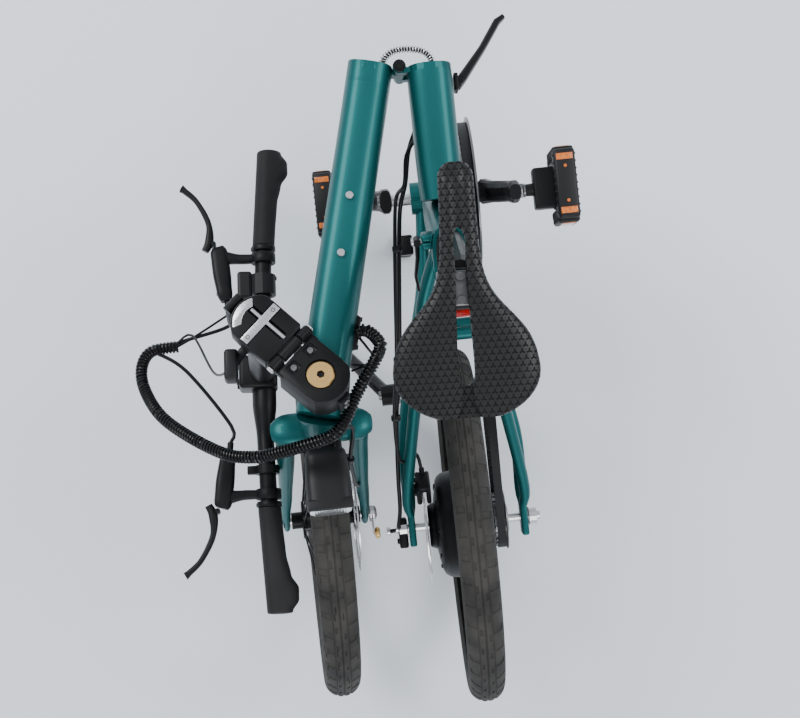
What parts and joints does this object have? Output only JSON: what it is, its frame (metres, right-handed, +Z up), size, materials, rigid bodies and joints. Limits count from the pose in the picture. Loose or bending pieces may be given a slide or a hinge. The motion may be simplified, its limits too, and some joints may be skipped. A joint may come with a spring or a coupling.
{
  "type": "folding bicycle",
  "caption": "Folded small-wheeled electric bicycle: hinged main tube, folding handlepost, belt drive, hub motor, disc brakes, folding pedals and a post with a slim saddle.",
  "frame": {"origin": "centre of the bounding box's footprint, on the floor, with the bicycle folded", "axes": "+Z up; +Y roughly the way the rear half points, 6 degrees off it; +X towards the belt side"},
  "size_m": [0.5696, 0.9065, 0.7996],
  "materials": {
    "teal_paint": "metallic satin",
    "black_metal": "satin black anodised",
    "black_plastic": "matt",
    "rubber": "matt",
    "tyre_rubber": "matt",
    "steel": "brushed",
    "red_lens": "clear gloss",
    "saddle_cover": "fine grain",
    "cable_wrap": "satin"
  },
  "bodies": {
    "rear_frame": {"rear_main_tube": "teal_paint", "seat_tube": "teal_paint", "bottom_bracket_shell": "teal_paint", "chainstay_left": "teal_paint", "chainstay_right": "teal_paint", "seatstay_left": "teal_paint", "seatstay_right": "teal_paint", "hinge_lug_rear": "teal_paint", "hinge_pin": "black_metal", "rear_axle": "steel", "rear_brake_caliper": "black_metal", "belt": "rubber"},
    "rear_wheel": {"rear_tyre": "tyre_rubber", "rear_rim": "black_metal", "hub_motor": "black_metal", "rear_rotor": "steel"},
    "crank": {"crank_spindle": "steel", "crank_arm_right": "black_metal", "crank_arm_left": "black_metal", "front_pulley": "black_metal"},
    "rear_pulley": {"rear_pulley": "black_metal"},
    "pedal_body_right": {"pedal_body_right": "black_metal"},
    "pedal_cage_right": {"pedal_cage_right": "black_plastic"},
    "pedal_body_left": {"pedal_body_left": "black_metal"},
    "pedal_cage_left": {"pedal_cage_left": "black_plastic"},
    "seatpost": {"seatpost": "black_metal", "saddle": "saddle_cover", "tail_light": "red_lens"},
    "seat_clamp_lever": {"seat_clamp_lever": "black_metal"},
    "kickstand": {"kickstand": "black_metal"},
    "rest_leg": {"rest_leg": "black_metal"},
    "frame_latch": {"frame_latch_lever": "black_metal"},
    "front_frame": {"front_main_tube": "teal_paint", "head_tube": "teal_paint", "hinge_lug_front": "teal_paint"},
    "fork": {"fork_steerer": "teal_paint", "fork_leg_left": "teal_paint", "fork_leg_right": "teal_paint", "front_axle": "steel", "front_brake_caliper": "black_metal", "headlight": "black_plastic", "stem_base": "black_metal", "cable_loom": "cable_wrap"},
    "front_wheel": {"front_tyre": "tyre_rubber", "front_rim": "black_metal", "front_hub": "black_metal", "front_rotor": "steel"},
    "handlepost": {"stem_hinge_top": "black_metal", "handlepost": "black_metal", "bar_clamp": "black_metal", "handlebar": "black_metal", "grip_left": "rubber", "grip_right": "rubber", "brake_mount_left": "black_metal", "brake_mount_right": "black_metal", "control_pad": "black_plastic"},
    "stem_latch": {"handlepost_latch": "black_metal"},
    "brake_lever_left": {"brake_lever_left": "black_metal"},
    "brake_lever_right": {"brake_lever_right": "black_metal"},
    "control_button": {"control_button": "rubber"}
  },
  "joints": [
    {"name": "main_fold", "type": "hinge", "parent": "rear_frame", "child": "front_frame", "pos_m": [0.0549, 0.38232, 0], "axis": [0, 0, -1], "range_deg": [0, 166]},
    {"name": "frame_latch_turn", "type": "hinge", "parent": "rear_frame", "child": "frame_latch", "pos_m": [0.1292, 0.36901, 0.522], "axis": [0, 0, 1], "range_deg": [0, 36]},
    {"name": "steering", "type": "hinge", "parent": "front_frame", "child": "fork", "pos_m": [-0.05648, -0.15154, 0.23249], "axis": [0.0487, 0.3468, 0.9367], "range_deg": [-15, 29]},
    {"name": "front_wheel_spin", "type": "hinge", "parent": "fork", "child": "front_wheel", "pos_m": [-0.05039, -0.19818, 0.24944], "axis": [-0.9914, -0.0975, 0.0877], "continuous": true},
    {"name": "stem_fold", "type": "hinge", "parent": "fork", "child": "handlepost", "pos_m": [-0.06877, 0.03978, 0.66407], "axis": [0.6435, 0.7209, -0.2575], "range_deg": [0, 174], "deforming": ["cable_loom"]},
    {"name": "stem_latch_turn", "type": "hinge", "parent": "handlepost", "child": "stem_latch", "pos_m": [-0.13577, 0.09161, 0.63896], "axis": [0.6471, 0.7304, -0.2187], "range_deg": [0, 100]},
    {"name": "brake_lever_left_pull", "type": "hinge", "parent": "handlepost", "child": "brake_lever_left", "pos_m": [-0.19597, 0.18153, 0.3567], "axis": [-0.0769, -0.2229, -0.9718], "range_deg": [0, 16], "stiffness_Nm_per_rad": 0.5, "springref_deg": -11.46},
    {"name": "brake_lever_right_pull", "type": "hinge", "parent": "handlepost", "child": "brake_lever_right", "pos_m": [-0.1801, -0.16929, 0.43591], "axis": [0.0769, 0.2229, 0.9718], "range_deg": [0, 16], "stiffness_Nm_per_rad": 0.5, "springref_deg": -11.46},
    {"name": "button_press", "type": "slide", "parent": "handlepost", "child": "control_button", "axis": [0.0769, 0.2229, 0.9718], "range_m": [0, 0.0015], "stiffness_N_per_m": 150, "springref_m": -0.001},
    {"name": "rear_wheel_spin", "type": "hinge", "parent": "rear_frame", "child": "rear_wheel", "pos_m": [0.1528, -0.20466, 0.25], "axis": [0.9945, 0.1045, 0], "continuous": true},
    {"name": "crank_spin", "type": "hinge", "parent": "rear_frame", "child": "crank", "pos_m": [0.1044, 0.2558, 0.29], "axis": [0.9945, 0.1045, 0], "continuous": true},
    {"name": "rear_pulley_spin", "type": "hinge", "parent": "rear_frame", "child": "rear_pulley", "pos_m": [0.1528, -0.20466, 0.25], "axis": [0.9945, 0.1045, 0], "continuous": true},
    {"name": "pedal_spin_right", "type": "hinge", "parent": "crank", "child": "pedal_body_right", "pos_m": [0.10673, 0.23365, 0.44844], "axis": [0.9945, 0.1045, 0], "continuous": true},
    {"name": "pedal_spin_left", "type": "hinge", "parent": "crank", "child": "pedal_body_left", "pos_m": [0.10207, 0.27795, 0.13156], "axis": [0.9945, 0.1045, 0], "continuous": true},
    {"name": "pedal_fold_right", "type": "hinge", "parent": "pedal_body_right", "child": "pedal_cage_right", "pos_m": [0.25591, 0.24933, 0.44844], "axis": [-0.1045, 0.9945, 0], "range_deg": [0, 90]},
    {"name": "pedal_fold_left", "type": "hinge", "parent": "pedal_body_left", "child": "pedal_cage_left", "pos_m": [-0.04711, 0.26227, 0.13156], "axis": [0.1045, -0.9945, 0], "range_deg": [0, 90]},
    {"name": "seatpost_slide", "type": "slide", "parent": "rear_frame", "child": "seatpost", "axis": [0.0332, -0.3156, 0.9483], "range_m": [0, 0.18]},
    {"name": "seat_clamp_turn", "type": "hinge", "parent": "rear_frame", "child": "seat_clamp_lever", "pos_m": [0.07554, 0.16688, 0.59886], "axis": [-0.0332, 0.3156, -0.9483], "range_deg": [0, 100]},
    {"name": "kickstand_fold", "type": "hinge", "parent": "rear_frame", "child": "kickstand", "pos_m": [0.03901, -0.02608, 0.203], "axis": [-0.9216, -0.2975, -0.2494], "range_deg": [0, 60]},
    {"name": "rest_leg_fold", "type": "hinge", "parent": "rear_frame", "child": "rest_leg", "pos_m": [0.06513, 0.18933, 0.262], "axis": [-0.9945, -0.1045, 0], "range_deg": [0, 84]}
  ],
  "couplings": [
    {"joint": "rear_pulley_spin", "follows": "crank_spin", "ratio": 2.5}
  ]
}
